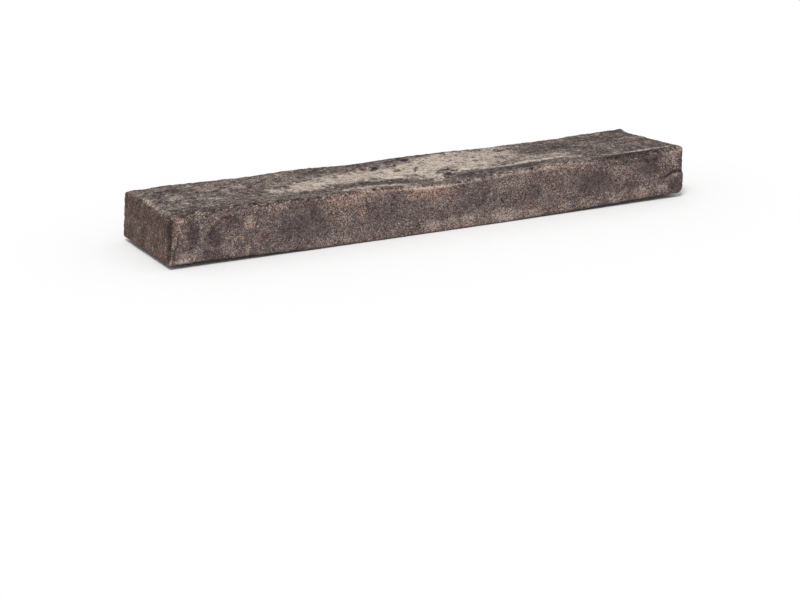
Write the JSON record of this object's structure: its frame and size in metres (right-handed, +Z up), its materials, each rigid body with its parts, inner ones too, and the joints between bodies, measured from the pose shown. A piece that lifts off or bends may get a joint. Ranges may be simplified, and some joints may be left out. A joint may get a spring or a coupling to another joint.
{
  "type": "long facing brick",
  "caption": "Long, thin hand-moulded facing brick of dark fired clay, with wandering rounded arrises and a slightly bowed bed.",
  "frame": {"origin": "on the floor under the middle of the brick", "axes": "+X along the length, +Y from the front stretcher face to the back one, +Z up from the bed"},
  "size_m": [0.4995, 0.1, 0.0469],
  "materials": {
    "fired_clay": "rough sanded and fired, unglazed"
  },
  "bodies": {
    "root": {"brick": "fired_clay"}
  },
  "joints": []
}
